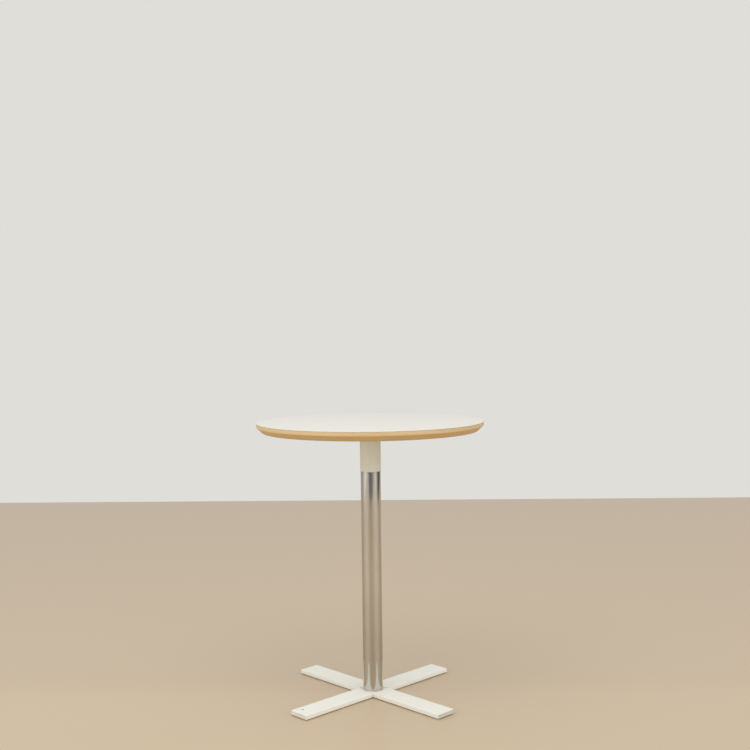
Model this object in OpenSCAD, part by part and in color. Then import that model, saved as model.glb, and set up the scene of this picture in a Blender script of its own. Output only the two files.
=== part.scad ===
// Round cafe table: a white laminate top with a bevelled solid wood edge, on a chrome column
// under a painted collar, standing on a cross of flat steel bars with four levelling glides.
// Millimetres. The floor is z = 0, the column stands on the z axis and the front is -y.

/* [Table top] */
// Height of the table, from the floor to its top face
table_height = 728; // [690:1:780]
// Diameter of the top
top_d = 600; // [500:10:800]
// Thickness of the board in the middle of the top
core_t = 22; // [18:0.5:28]
// Thickness of the laminate sheet on each side of the board
laminate_t = 0.8; // [0.6:0.1:1.2]
// Chamfer on the rim of the upper laminate sheet
laminate_edge = 0.3; // [0.1:0.1:0.5]
// Height of the upright band of the edge, with the laminate
edge_band_h = 10; // [6:0.5:14]
// How far the bevel below that band runs in under the top
bevel_run = 15; // [6:0.5:19]
// Width of the solid wood edging, from its outer face to the board
edging_w = 24; // [22:0.5:36]
// Number of pieces that the ring of edging is made of
edging_pieces = 6; // [4:1:8]
// Direction of the first joint in the edging, from the x axis
first_joint_angle = 57; // [0:1:60]
// Thickness of the tongue on the edging
tongue_t = 6; // [4:0.5:8]
// How far the tongue goes into the board's groove
tongue_depth = 8; // [4:0.5:12]
// Thickness of the glue line round the board and between the pieces of edging
glue_line = 0.1; // [0.05:0.05:0.2]

/* [Plate under the top] */
// Length of each side of the square plate
plate_side = 220; // [200:5:260]
// Thickness of the plate
plate_t = 5; // [4:0.5:8]
// Radius of the plate's corners
plate_corner_r = 22; // [10:1:40]
// Chamfer round the plate's lower edge
plate_edge = 0.8; // [0.3:0.1:1.5]
// Distance between neighbouring screws, centre to centre
screw_spacing = 176; // [150:2:180]
// Diameter of the hole in the plate that a socket reaches the rod's nut through
plate_hole_d = 34; // [30:1:42]
// Thread diameter of the plate's screws
plate_screw_d = 6; // [5:0.5:8]
// Length of the plate's screws below the head
plate_screw_len = 16; // [12:1:20]
// Diameter of the plate screws' heads
plate_screw_head_d = 12; // [11:0.5:16]
// Height of the plate screws' heads
plate_screw_head_h = 3.3; // [2.5:0.1:5]
// Size of the hexagon key for the plate's screws, across the flats
plate_screw_key = 4; // [3:0.5:5]
// Outside diameter of the threaded inserts in the board
insert_d = 10; // [10:0.5:13]
// Length of the threaded inserts
insert_len = 13; // [10:0.5:15]

/* [Collar] */
// How far the collar stands out past the column all round
collar_step = 1; // [0.5:0.25:1.25]
// Wall of the collar tube
collar_wall = 2; // [1.5:0.25:3]
// Length of the collar below the plate
collar_len = 103; // [60:1:140]
// Leg of the weld between the collar and the plate
collar_weld_leg = 4; // [2:0.5:6]
// Thickness of the web of the centring plug, which the rod screws into
plug_web_t = 12; // [8:1:20]
// How far the skirt of the centring plug goes down into the column
plug_skirt_len = 30; // [15:1:50]
// Wall of the centring plug's skirt
plug_skirt_wall = 4; // [3:0.5:6]

/* [Column] */
// Outside diameter of the column tube
column_od = 53; // [48:0.5:60]
// Wall of the column tube
column_wall = 1.5; // [1:0.25:2.5]
// Chamfer at the ends of both tubes
tube_edge = 0.3; // [0.1:0.1:0.5]
// Gap all round a plug or a disc inside its tube
spigot_clearance = 0.1; // [0.05:0.05:0.2]
// Height of the disc on the foot that the column stands round
disc_h = 8; // [6:0.5:12]

/* [Tie rod] */
// Thread diameter of the tie rod and of the screw through the foot
rod_d = 10; // [8:1:12]
// Size of the nuts on the rod, across the flats
nut_af = 17; // [17:1:19]
// Length of the coupling nut
coupling_nut_len = 30; // [26:1:40]
// Thickness of the thin nuts that lock the rod
lock_nut_t = 5; // [4:0.5:8]
// How far the rod stands up past its upper nut
rod_past_nut = 3; // [1:0.5:8]
// Gap between the disc on the foot and the coupling nut, which lets the screw pull tight
draw_gap = 2; // [1:0.5:4]
// Gap in the coupling nut between the screw and the rod
rod_end_gap = 2; // [1:0.5:4]
// Length of the screw through the foot, with its countersunk head
foot_screw_len = 35; // [33:1:40]
// Diameter of the countersunk head
foot_screw_head_d = 20; // [18:0.5:22]
// Size of the hexagon key for the foot's screw, across the flats
foot_screw_key = 6; // [5:0.5:7]
// Gap all round a screw in a plain hole
screw_play = 0.5; // [0.3:0.1:1]
// Gap between a thread and what it screws into
thread_clearance = 0.05; // [0.02:0.01:0.1]

/* [Foot] */
// Length of the cross, from tip to tip along a bar
bar_length = 525; // [440:5:640]
// Width of the bars
bar_w = 60; // [54:1:80]
// Thickness of the bars
bar_t = 10; // [10:0.5:15]
// Height of the bars above the floor with the glides screwed right in
bar_gap = 2; // [1.5:0.5:6]
// Chamfer on the edges of the bars
bar_edge = 0.8; // [0.3:0.1:1.5]
// Leg of the welds of the foot
foot_weld_leg = 3; // [2:0.5:4]

/* [Glides] */
// Distance from a bar's tip to the middle of its glide
glide_inset = 25; // [20:1:60]
// Diameter of a glide's pad
pad_d = 26; // [22:1:36]
// Chamfer on the rims of the pad
pad_edge = 0.8; // [0.3:0.1:1]
// Depth of the recess in a bar's underside that the pad draws into
recess_depth = 2; // [1:0.5:3]
// Gap all round the pad in its recess
recess_play = 1; // [0.5:0.25:2]
// Gap between the pad and the floor of its recess with the glide screwed right in
pad_clearance = 0.3; // [0.2:0.1:0.6]
// Diameter of the flange at the foot of a glide's stud
flange_d = 16; // [14:0.5:20]
// Thickness of that flange
flange_t = 1.5; // [1:0.25:2]
// Thread diameter of a glide's stud
stud_d = 8; // [6:1:10]
// Depth of the blind threaded hole for the stud, from the bar's underside
stud_hole_depth = 8.5; // [8:0.1:8.8]
// Gap between the end of a stud and the end of its hole with the glide screwed right in
stud_end_gap = 0.8; // [0.5:0.1:1.5]
// Gap all round a stud in its threaded hole, which slides easily
stud_clearance = 0.1; // [0.05:0.01:0.1]

/* [Hidden] */
$fn = 96;

// The four bar tips, in order round the foot, and the direction of each
corners = ["front_left", "front_right", "back_right", "back_left"];
function corner_angle(i) = 225 + 90 * i;

// The top, from its upper face down
top_r = top_d / 2;
board_top_z = table_height - laminate_t;
board_bottom_z = board_top_z - core_t;
underside_z = board_bottom_z - laminate_t;
band_bottom_z = table_height - edge_band_h;
core_r = top_r - edging_w;
tongue_mid_z = (board_top_z + board_bottom_z) / 2;
joint_angle = 360 / edging_pieces;
glue_angle = 360 * glue_line / (PI * top_d);
// Radius of the bevelled edge at a height below its upright band
function bevel_r(z) = top_r - bevel_run * (band_bottom_z - z) / (band_bottom_z - underside_z);

// The plate and its fasteners
plate_bottom_z = underside_z - plate_t;
insert_hole_depth = max(insert_len, plate_screw_len - plate_t) + 1;

// The collar, the column and the plug between them
collar_r = column_od / 2 + collar_step;
collar_bore_r = collar_r - collar_wall;
column_r = column_od / 2;
column_bore_r = column_r - column_wall;
foot_top_z = bar_gap + bar_t;
collar_bottom_z = plate_bottom_z - collar_len;
plug_top_z = collar_bottom_z + plug_web_t;

// The rod, its nuts and the foot's screw
thread_bore_r = rod_d / 2 + thread_clearance;
coupling_nut_z = foot_top_z + disc_h + draw_gap;
coupling_nut_top_z = coupling_nut_z + coupling_nut_len;
foot_screw_top_z = bar_gap + foot_screw_len;
rod_bottom_z = foot_screw_top_z + rod_end_gap;
rod_top_z = plug_top_z + lock_nut_t + rod_past_nut;
thread_lead = rod_d / 10;

// The glides
glide_r = bar_length / 2 - glide_inset;
pad_t = bar_gap + recess_depth - pad_clearance;

// Anything repeated at the four screw positions of the plate
module at_plate_screws() {
    for (x = [-1, 1], y = [-1, 1])
        translate([x * screw_spacing / 2, y * screw_spacing / 2, 0]) children();
}

// A plain tube on the z axis with all four rims chamfered
module tube(outer_r, inner_r, bottom_z, top_z, edge) {
    rotate_extrude()
        polygon([
            [inner_r + edge, bottom_z], [outer_r - edge, bottom_z], [outer_r, bottom_z + edge],
            [outer_r, top_z - edge], [outer_r - edge, top_z], [inner_r + edge, top_z],
            [inner_r, top_z - edge], [inner_r, bottom_z + edge]
        ]);
}

// A hexagonal prism standing on z = 0
module hexagon(across_flats, h) {
    linear_extrude(h) circle(r = across_flats / 2 / cos(30), $fn = 6);
}

// A hexagonal nut on z = 0 with its corners turned off at both faces
module hex_nut(across_flats, h, bore_r) {
    corner_r = across_flats / 2 / cos(30);
    face_r = across_flats / 2;
    turned = (corner_r - face_r) * tan(30);
    difference() {
        intersection() {
            hexagon(across_flats, h);
            rotate_extrude()
                polygon([
                    [0, 0], [face_r, 0], [corner_r, turned],
                    [corner_r, h - turned], [face_r, h], [0, h]
                ]);
        }
        translate([0, 0, -1]) cylinder(r = bore_r, h = h + 2);
    }
}

// The white sheet that is the table's face, which runs out to the rim
module top_laminate() {
    color("#ecece4")
        rotate_extrude()
            polygon([
                [0, board_top_z], [top_r, board_top_z], [top_r, table_height - laminate_edge],
                [top_r - laminate_edge, table_height], [0, table_height]
            ]);
}

// The board, grooved all round for the edging's tongue and drilled for the inserts
module top_core() {
    groove_z = tongue_t / 2 + glue_line;
    color("#c8a97e")
        difference() {
            rotate_extrude()
                polygon([
                    [0, board_bottom_z], [core_r, board_bottom_z],
                    [core_r, tongue_mid_z - groove_z], [core_r - tongue_depth, tongue_mid_z - groove_z],
                    [core_r - tongue_depth, tongue_mid_z + groove_z], [core_r, tongue_mid_z + groove_z],
                    [core_r, board_top_z], [0, board_top_z]
                ]);
            at_plate_screws()
                translate([0, 0, underside_z])
                    cylinder(r = insert_d / 2 + thread_clearance, h = insert_hole_depth);
        }
}

// The sheet under the top that balances the face, cut off along the bevel
module backing_laminate() {
    color("#e4e2da")
        difference() {
            rotate_extrude()
                polygon([
                    [0, underside_z], [bevel_r(underside_z), underside_z],
                    [bevel_r(board_bottom_z), board_bottom_z], [0, board_bottom_z]
                ]);
            at_plate_screws()
                translate([0, 0, underside_z - 1])
                    cylinder(r = insert_d / 2 + thread_clearance, h = laminate_t + 2);
        }
}

// One piece of the solid wood ring, with its tongue, upright band and bevel
module edging(i) {
    inner_r = core_r + glue_line;
    tongue_r = inner_r - tongue_depth;
    color("#d2a877")
        rotate([0, 0, first_joint_angle + joint_angle * (i - 1) + glue_angle / 2])
            rotate_extrude(angle = joint_angle - glue_angle)
                polygon([
                    [inner_r, board_bottom_z], [bevel_r(board_bottom_z), board_bottom_z],
                    [top_r, band_bottom_z], [top_r, board_top_z], [inner_r, board_top_z],
                    [inner_r, tongue_mid_z + tongue_t / 2], [tongue_r, tongue_mid_z + tongue_t / 2],
                    [tongue_r, tongue_mid_z - tongue_t / 2], [inner_r, tongue_mid_z - tongue_t / 2]
                ]);
}

// Brass sleeves in the board that the plate's screws turn into
module threaded_inserts() {
    color("#b99a4e")
        at_plate_screws()
            translate([0, 0, underside_z])
                difference() {
                    cylinder(d = insert_d, h = insert_len);
                    translate([0, 0, -1])
                        cylinder(r = plate_screw_d / 2 + thread_clearance, h = insert_len + 2);
                }
}

// Low-headed screws that hold the plate up against the top
module plate_screws() {
    shank_r = plate_screw_d / 2;
    head_r = plate_screw_head_d / 2;
    lead = plate_screw_d / 10;
    key_depth = plate_screw_head_h * 0.6;
    color("#9a9a98")
        at_plate_screws()
            translate([0, 0, plate_bottom_z])
                difference() {
                    rotate_extrude()
                        polygon([
                            [0, -plate_screw_head_h], [head_r * 0.6, -plate_screw_head_h],
                            [head_r * 0.88, -plate_screw_head_h * 0.62], [head_r, -plate_screw_head_h * 0.2],
                            [head_r, 0], [shank_r, 0], [shank_r, plate_screw_len - lead],
                            [shank_r - lead, plate_screw_len], [0, plate_screw_len]
                        ]);
                    translate([0, 0, -plate_screw_head_h - 1]) hexagon(plate_screw_key, key_depth + 1);
                }
}

// A square slab on z = 0 with round corners and its lower edge broken all round
module rounded_slab(side, h, corner_r, edge) {
    straight = side - 2 * corner_r;
    for (turn = [0, 90])
        rotate([90, 0, turn])
            translate([0, 0, -straight / 2])
                linear_extrude(straight)
                    polygon([
                        [edge - side / 2, 0], [side / 2 - edge, 0], [side / 2, edge],
                        [side / 2, h], [-side / 2, h], [-side / 2, edge]
                    ]);
    for (x = [-1, 1], y = [-1, 1])
        translate([x * straight / 2, y * straight / 2, 0])
            rotate_extrude()
                polygon([[0, 0], [corner_r - edge, 0], [corner_r, edge], [corner_r, h], [0, h]]);
}

// The steel plate that carries the top
module mounting_plate() {
    color("#e8e6de")
        difference() {
            translate([0, 0, plate_bottom_z])
                rounded_slab(plate_side, plate_t, plate_corner_r, plate_edge);
            translate([0, 0, plate_bottom_z - 1]) cylinder(d = plate_hole_d, h = plate_t + 2);
            at_plate_screws()
                translate([0, 0, plate_bottom_z - 1])
                    cylinder(r = plate_screw_d / 2 + screw_play, h = plate_t + 2);
        }
}

// The painted tube between the plate and the column
module collar_tube() {
    color("#e8e6de") tube(collar_r, collar_bore_r, collar_bottom_z, plate_bottom_z, tube_edge);
}

// The weld bead all round the collar where it meets the plate
module collar_weld() {
    color("#e8e6de")
        rotate_extrude()
            polygon([
                [collar_r - tube_edge, plate_bottom_z],
                [collar_r, plate_bottom_z - tube_edge],
                [collar_r, plate_bottom_z - collar_weld_leg],
                [collar_r + collar_weld_leg * 0.35, plate_bottom_z - collar_weld_leg * 0.5],
                [collar_r + collar_weld_leg, plate_bottom_z]
            ]);
}

// The turned plug: its web is fast in the collar and its skirt centres the column
module centring_plug() {
    web_r = collar_bore_r - spigot_clearance;
    skirt_r = column_bore_r - spigot_clearance;
    skirt_bottom_z = collar_bottom_z - plug_skirt_len;
    lead = 1;
    color("#8f9194")
        rotate_extrude()
            polygon([
                [thread_bore_r, collar_bottom_z], [skirt_r - plug_skirt_wall, collar_bottom_z],
                [skirt_r - plug_skirt_wall, skirt_bottom_z], [skirt_r - lead, skirt_bottom_z],
                [skirt_r, skirt_bottom_z + lead], [skirt_r, collar_bottom_z],
                [web_r, collar_bottom_z], [web_r, plug_top_z], [thread_bore_r, plug_top_z]
            ]);
}

// Thin nuts that lock the rod on the plug and in the coupling nut
module rod_lock_nuts() {
    color("#9a9a98") {
        translate([0, 0, plug_top_z]) hex_nut(nut_af, lock_nut_t, thread_bore_r);
        translate([0, 0, coupling_nut_top_z]) hex_nut(nut_af, lock_nut_t, thread_bore_r);
    }
}

// The threaded rod up the middle of the column
module tie_rod() {
    color("#a8a8a4")
        rotate_extrude()
            polygon([
                [0, rod_bottom_z], [rod_d / 2 - thread_lead, rod_bottom_z],
                [rod_d / 2, rod_bottom_z + thread_lead], [rod_d / 2, rod_top_z - thread_lead],
                [rod_d / 2 - thread_lead, rod_top_z], [0, rod_top_z]
            ]);
}

// The long nut at the foot of the rod that the foot's screw turns into
module coupling_nut() {
    color("#9a9a98")
        translate([0, 0, coupling_nut_z]) hex_nut(nut_af, coupling_nut_len, thread_bore_r);
}

// The chrome tube, clamped between the foot and the collar
module column_tube() {
    color("#b9bbbd") tube(column_r, column_bore_r, foot_top_z, collar_bottom_z, tube_edge);
}

// The disc on the middle of the foot that keeps the column's lower end in place
module locating_disc() {
    outer_r = column_bore_r - spigot_clearance;
    color("#e8e6de")
        rotate_extrude()
            polygon([
                [rod_d / 2 + screw_play, foot_top_z], [outer_r - foot_weld_leg, foot_top_z],
                [outer_r, foot_top_z + foot_weld_leg], [outer_r, foot_top_z + disc_h - 1],
                [outer_r - 1, foot_top_z + disc_h], [rod_d / 2 + screw_play, foot_top_z + disc_h]
            ]);
}

// A rectangle from one corner to the other with some corners cut off by a leg each
module cut_rectangle(x0, x1, y0, y1, leg0, leg1) {
    polygon([
        [x0, y0 + leg0], [x0 + leg0, y0], [x1 - leg1, y0], [x1, y0 + leg1],
        [x1, y1 - leg1], [x1 - leg1, y1], [x0 + leg0, y1], [x0, y1 - leg0]
    ]);
}

// A flat bar along x from inner_x to outer_x, with its edges broken. The cut at its inner end
// is a chamfer on a free end, or the groove of a weld
module flat_bar(inner_x, outer_x, inner_cut) {
    length = outer_x - inner_x;
    half_w = bar_w / 2;
    intersection() {
        translate([inner_x, 0, 0])
            rotate([90, 0, 90])
                linear_extrude(length)
                    cut_rectangle(-half_w, half_w, bar_gap, foot_top_z, bar_edge, bar_edge);
        translate([0, half_w, 0])
            rotate([90, 0, 0])
                linear_extrude(bar_w)
                    cut_rectangle(inner_x, outer_x, bar_gap, foot_top_z, inner_cut, bar_edge);
    }
}

// The seat of a glide in a bar that lies along x: a shallow recess that the pad draws into, and
// the blind threaded hole for the stud above it
module glide_seat(x) {
    translate([x, 0, bar_gap - 1]) {
        cylinder(r = pad_d / 2 + recess_play, h = recess_depth + 1);
        cylinder(r = stud_d / 2 + stud_clearance, h = stud_hole_depth + 1);
    }
}

// The foot's screw, with its countersunk head, or the hole for it, grown by a gap round the
// head and another round the shank
module foot_screw_body(head_gap, shank_gap) {
    shank_r = rod_d / 2 + shank_gap;
    head_r = foot_screw_head_d / 2 + head_gap;
    rotate_extrude()
        polygon([
            [0, bar_gap], [head_r, bar_gap], [shank_r, bar_gap + head_r - shank_r],
            [shank_r, foot_screw_top_z - thread_lead],
            [shank_r - thread_lead, foot_screw_top_z], [0, foot_screw_top_z]
        ]);
}

// The bar that runs right across the foot, from the front left to the back right
module long_bar() {
    color("#ebebe6")
        rotate([0, 0, corner_angle(2)])
            difference() {
                flat_bar(-bar_length / 2, bar_length / 2, bar_edge);
                glide_seat(glide_r);
                glide_seat(-glide_r);
                foot_screw_body(thread_clearance, screw_play);
            }
}

// A bar welded against the side of the long bar
module short_bar(angle) {
    color("#ebebe6")
        rotate([0, 0, angle])
            difference() {
                flat_bar(bar_w / 2, bar_length / 2, foot_weld_leg);
                glide_seat(glide_r);
            }
}

// Welds ground flush: a seam above and below at each short bar, and one round the disc
module foot_welds() {
    disc_r = column_bore_r - spigot_clearance;
    seam_len = bar_w - 2 * bar_edge;
    color("#ebebe6") {
        for (side = [1, 3], face = [0, 1])
            rotate([0, 0, corner_angle(side)])
                translate([0, seam_len / 2, face * (bar_gap + foot_top_z)])
                    mirror([0, 0, face])
                        rotate([90, 0, 0])
                            linear_extrude(seam_len)
                                polygon([
                                    [bar_w / 2 - bar_edge, bar_gap], [bar_w / 2 + foot_weld_leg, bar_gap],
                                    [bar_w / 2, bar_gap + foot_weld_leg], [bar_w / 2, bar_gap + bar_edge]
                                ]);
        rotate_extrude()
            polygon([
                [disc_r - foot_weld_leg, foot_top_z], [disc_r, foot_top_z],
                [disc_r, foot_top_z + foot_weld_leg]
            ]);
    }
}

// The countersunk screw that pulls the foot up to the column, flush under the long bar
module foot_screw() {
    key_depth = (foot_screw_head_d - rod_d) / 2 - 1;
    color("#9a9a98")
        difference() {
            foot_screw_body(0, 0);
            translate([0, 0, bar_gap - 1]) hexagon(foot_screw_key, key_depth + 1);
        }
}

// The threaded stud of one glide, with the flange that its pad holds
module glide_stud(i) {
    stud_r = stud_d / 2;
    lead = stud_d / 10;
    top_z = bar_gap + stud_hole_depth - stud_end_gap;
    color("#a8a8a4")
        rotate([0, 0, corner_angle(i)])
            translate([glide_r, 0, 0])
                rotate_extrude()
                    polygon([
                        [0, pad_t - flange_t], [flange_d / 2, pad_t - flange_t], [flange_d / 2, pad_t],
                        [stud_r, pad_t], [stud_r, top_z - lead], [stud_r - lead, top_z], [0, top_z]
                    ]);
}

// The nylon pad of one glide, moulded round the stud's flange
module glide_pad(i) {
    pad_r = pad_d / 2;
    pocket_r = flange_d / 2 + thread_clearance;
    color("#4a4a48")
        rotate([0, 0, corner_angle(i)])
            translate([glide_r, 0, 0])
                rotate_extrude()
                    polygon([
                        [0, 0], [pad_r - pad_edge, 0], [pad_r, pad_edge],
                        [pad_r, pad_t - pad_edge], [pad_r - pad_edge, pad_t], [pocket_r, pad_t],
                        [pocket_r, pad_t - flange_t], [0, pad_t - flange_t]
                    ]);
}

top_laminate();
top_core();
backing_laminate();
for (i = [1 : edging_pieces])
    edging(i);
threaded_inserts();
plate_screws();
mounting_plate();
collar_tube();
collar_weld();
centring_plug();
rod_lock_nuts();
tie_rod();
coupling_nut();
column_tube();
locating_disc();
long_bar();
short_bar(corner_angle(1));  // short_bar_front_right
short_bar(corner_angle(3));  // short_bar_back_left
foot_welds();
foot_screw();
for (i = [0 : len(corners) - 1])
    glide_stud(i);
for (i = [0 : len(corners) - 1])
    glide_pad(i);
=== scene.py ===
"""The looks of a round cafe table: laminate top with a bevelled beech edge, chrome column under
a painted collar, and a cross foot of flat bars. It follows the table as it is put together,
from the top down, and ends with the room and the camera. Metres, +Z up, the front is -Y."""

import math
import random

import bmesh
import bpy
from mathutils import Matrix, Vector


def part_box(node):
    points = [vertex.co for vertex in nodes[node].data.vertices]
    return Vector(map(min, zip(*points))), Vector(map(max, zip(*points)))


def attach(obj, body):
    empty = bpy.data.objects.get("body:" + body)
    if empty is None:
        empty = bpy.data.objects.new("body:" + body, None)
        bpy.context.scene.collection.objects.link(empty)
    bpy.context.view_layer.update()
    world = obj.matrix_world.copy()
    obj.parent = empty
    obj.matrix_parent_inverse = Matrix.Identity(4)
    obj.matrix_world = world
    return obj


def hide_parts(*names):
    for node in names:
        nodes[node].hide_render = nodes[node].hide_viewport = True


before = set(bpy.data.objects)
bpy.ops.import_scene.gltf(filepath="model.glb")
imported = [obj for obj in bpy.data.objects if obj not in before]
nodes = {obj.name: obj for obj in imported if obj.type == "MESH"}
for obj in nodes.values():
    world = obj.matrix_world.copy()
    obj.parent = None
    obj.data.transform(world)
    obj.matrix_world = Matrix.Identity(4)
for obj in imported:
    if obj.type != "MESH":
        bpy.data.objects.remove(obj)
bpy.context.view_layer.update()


# The board in the middle of the top. It is particle board, pressed from wood chips, grooved all
# round for the edging and drilled from below for the inserts. Nothing of it shows.
def tone(code):
    """A colour written as six hexadecimal digits, as the shader's linear values."""
    parts = [int(code[i : i + 2], 16) / 255 for i in (0, 2, 4)]
    return (*[p / 12.92 if p <= 0.04045 else ((p + 0.055) / 1.055) ** 2.4 for p in parts], 1.0)


def new_finish(name, **sockets):
    """A material whose shader has these sockets set, with its node tree and shader."""
    finish = bpy.data.materials.new(name)
    finish.use_nodes = True
    shader = finish.node_tree.nodes["Principled BSDF"]
    for socket, value in sockets.items():
        shader.inputs[socket.replace("_", " ")].default_value = value
    return finish, finish.node_tree, shader


def add(tree, kind, inputs, **settings):
    """A new node. Each input is a value, or the socket of another node that feeds it."""
    made = tree.nodes.new(kind)
    for name, value in settings.items():
        setattr(made, name, value)
    for name, value in inputs.items():
        if isinstance(value, bpy.types.NodeSocket):
            tree.links.new(value, made.inputs[name])
        else:
            made.inputs[name].default_value = value
    return made


def place(tree, stretch=(1, 1, 1), turn=0.0, shift=(0, 0, 0)):
    """Object coordinates, turned about Z, stretched and then shifted."""
    here = add(tree, "ShaderNodeTexCoord", {}).outputs["Object"]
    if turn:
        here = add(tree, "ShaderNodeMapping", {"Vector": here, "Rotation": (0, 0, turn)}).outputs[0]
    laid = {"Vector": here, "Location": shift, "Scale": stretch}
    return add(tree, "ShaderNodeMapping", laid).outputs[0]


def noise(tree, where, scale=1.0, detail=2.0, roughness=0.5):
    """Soft noise from 0 to 1."""
    made = {"Vector": where, "Scale": scale, "Detail": detail, "Roughness": roughness}
    return add(tree, "ShaderNodeTexNoise", made).outputs["Fac"]


def spread(tree, value, low, high, to_low=0.0, to_high=1.0):
    """A value's stretch from low to high, laid over another range and held at its ends."""
    ends = {"From Min": low, "From Max": high, "To Min": to_low, "To Max": to_high}
    return add(tree, "ShaderNodeMapRange", {"Value": value, **ends}).outputs[0]


def math_node(tree, operation, first, second=0.0):
    """A sum, product or other operation on one or two values."""
    return add(tree, "ShaderNodeMath", {0: first, 1: second}, operation=operation).outputs[0]


def blend(tree, share, first, second):
    """A colour between two colours, by a share from 0 to 1."""
    mixed = add(tree, "ShaderNodeMix", {0: share, 6: first, 7: second}, data_type="RGBA")
    return mixed.outputs[2]


def relief(tree, shader, height, strength, distance):
    """Fine relief on the surface, by a height from 0 to 1 over that distance."""
    raised = {"Height": height, "Strength": strength, "Distance": distance}
    tree.links.new(add(tree, "ShaderNodeBump", raised).outputs[0], shader.inputs["Normal"])


def dress(node, finish):
    """Gives a CAD node a finish in place of its own."""
    nodes[node].data.materials.clear()
    nodes[node].data.materials.append(finish)


board, tree, shader = new_finish("particle_board", Roughness=0.85)
chips = add(tree, "ShaderNodeTexVoronoi", {"Vector": place(tree), "Scale": 420.0})
chip_shade = spread(tree, chips.outputs["Distance"], 0.0, 0.7)
tree.links.new(blend(tree, chip_shade, tone("cfae80"), tone("a37f54")), shader.inputs["Base Color"])
dress("top_core", board)


# The sheet under the top, which balances the face so that the board stays flat. It is a thin
# off-white laminate with a matt face over brown paper, glued on and cut off along the bevel.
def rounded(outline, bend_points=4):
    """Points round an outline of (across, up, corner radius), with its corners as arcs."""
    points = []
    for i, (x, y, radius) in enumerate(outline):
        here = Vector((x, y))
        if not radius:
            points.append(here)
            continue
        back = (Vector(outline[i - 1][:2]) - here).normalized()
        ahead = (Vector(outline[(i + 1) % len(outline)][:2]) - here).normalized()
        half = back.angle(ahead) / 2
        middle = here + (back + ahead).normalized() * radius / math.sin(half)
        start = here + back * radius / math.tan(half) - middle
        end = here + ahead * radius / math.tan(half) - middle
        for step in range(bend_points + 1):
            points.append(middle + start.slerp(end, step / bend_points) * radius)
    return points


def spin(outline, steps, first=0.0, last=math.tau):
    """A closed solid made by turning an outline of (radius, height) about the Z axis."""
    whole = math.isclose(last - first, math.tau)
    shape = bmesh.new()
    turns = steps if whole else steps + 1
    rings = []
    for step in range(turns):
        angle = first + (last - first) * step / steps
        corners = [(r * math.cos(angle), r * math.sin(angle), z) for r, z in outline]
        rings.append([shape.verts.new(corner) for corner in corners])
    for step in range(steps):
        ring, following = rings[step], rings[(step + 1) % turns]
        for i in range(len(outline)):
            j = (i + 1) % len(outline)
            shape.faces.new((ring[i], ring[j], following[j], following[i]))
    if not whole:
        shape.faces.new(rings[0])
        shape.faces.new(rings[-1])
    bmesh.ops.remove_doubles(shape, verts=shape.verts, dist=1e-7)
    bmesh.ops.dissolve_degenerate(shape, edges=shape.edges, dist=1e-8)
    bmesh.ops.recalc_face_normals(shape, faces=shape.faces)
    return shape


def new_piece(name, shape, finish, crease=35.0):
    """A piece with that shape and finish, smooth but for the edges sharper than the crease."""
    mesh = bpy.data.meshes.new(name)
    shape.to_mesh(mesh)
    shape.free()
    mesh.polygons.foreach_set("use_smooth", [True] * len(mesh.polygons))
    mesh.set_sharp_from_angle(angle=math.radians(crease))
    mesh.materials.append(finish)
    piece = bpy.data.objects.new(name, mesh)
    bpy.context.scene.collection.objects.link(piece)
    return piece


def settle(piece):
    """Turns a piece's modifiers into plain mesh."""
    ready = piece.evaluated_get(bpy.context.evaluated_depsgraph_get())
    mesh = bpy.data.meshes.new_from_object(ready)
    piece.modifiers.clear()
    piece.data = mesh
    mesh.name = piece.name


def even_shading(piece):
    """Keeps wide faces flat-looking beside small round edges."""
    piece.modifiers.new("even_shading", "WEIGHTED_NORMAL").keep_sharp = True
    settle(piece)


def stand_for(piece, body, slot, *replaced):
    """Lets a piece ride on a body in place of CAD nodes. The slot is not used."""
    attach(piece, body)
    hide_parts(*replaced)


def laminate_paper(name):
    """The brown paper in the middle of a laminate, which shows on its cut edge."""
    paper, tree, shader = new_finish(name, Roughness=0.6)
    plies = noise(tree, place(tree, (60, 60, 9000)), detail=1.0)
    tree.links.new(blend(tree, plies, tone("a58a66"), tone("7d6545")), shader.inputs["Base Color"])
    return paper


def bare_rim(piece, paper):
    """Gives the slanting or upright faces of a sheet the look of its cut edge."""
    piece.data.materials.append(paper)
    for polygon in piece.data.polygons:
        if abs(polygon.normal.z) < 0.8:
            polygon.material_index = 1


backing, tree, shader = new_finish("backing_sheet", Roughness=0.55)
cloud = noise(tree, place(tree), 14.0, 4.0)
tree.links.new(blend(tree, cloud, tone("e3e1d9"), tone("dcdad1")), shader.inputs["Base Color"])
relief(tree, shader, noise(tree, place(tree), 1500.0), 0.12, 0.0002)
back_low, back_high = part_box("backing_laminate")
top_radius = 0.300
top_steps = 240
band_height = 0.010
bevel_foot_radius = 0.285
top_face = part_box("top_laminate")[1].z
band_foot = top_face - band_height
bevel_run = (top_radius - bevel_foot_radius) / (band_foot - back_low.z)
board_foot_radius = top_radius - bevel_run * (band_foot - back_high.z)
backing_outline = [
    (0, back_low.z),
    (bevel_foot_radius, back_low.z),
    (board_foot_radius, back_high.z),
    (0, back_high.z),
]
backing_piece = new_piece("backing_piece", spin(backing_outline, top_steps), backing)
bare_rim(backing_piece, laminate_paper("backing_paper"))
stand_for(backing_piece, "root", "backing_laminate", "backing_laminate")


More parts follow.
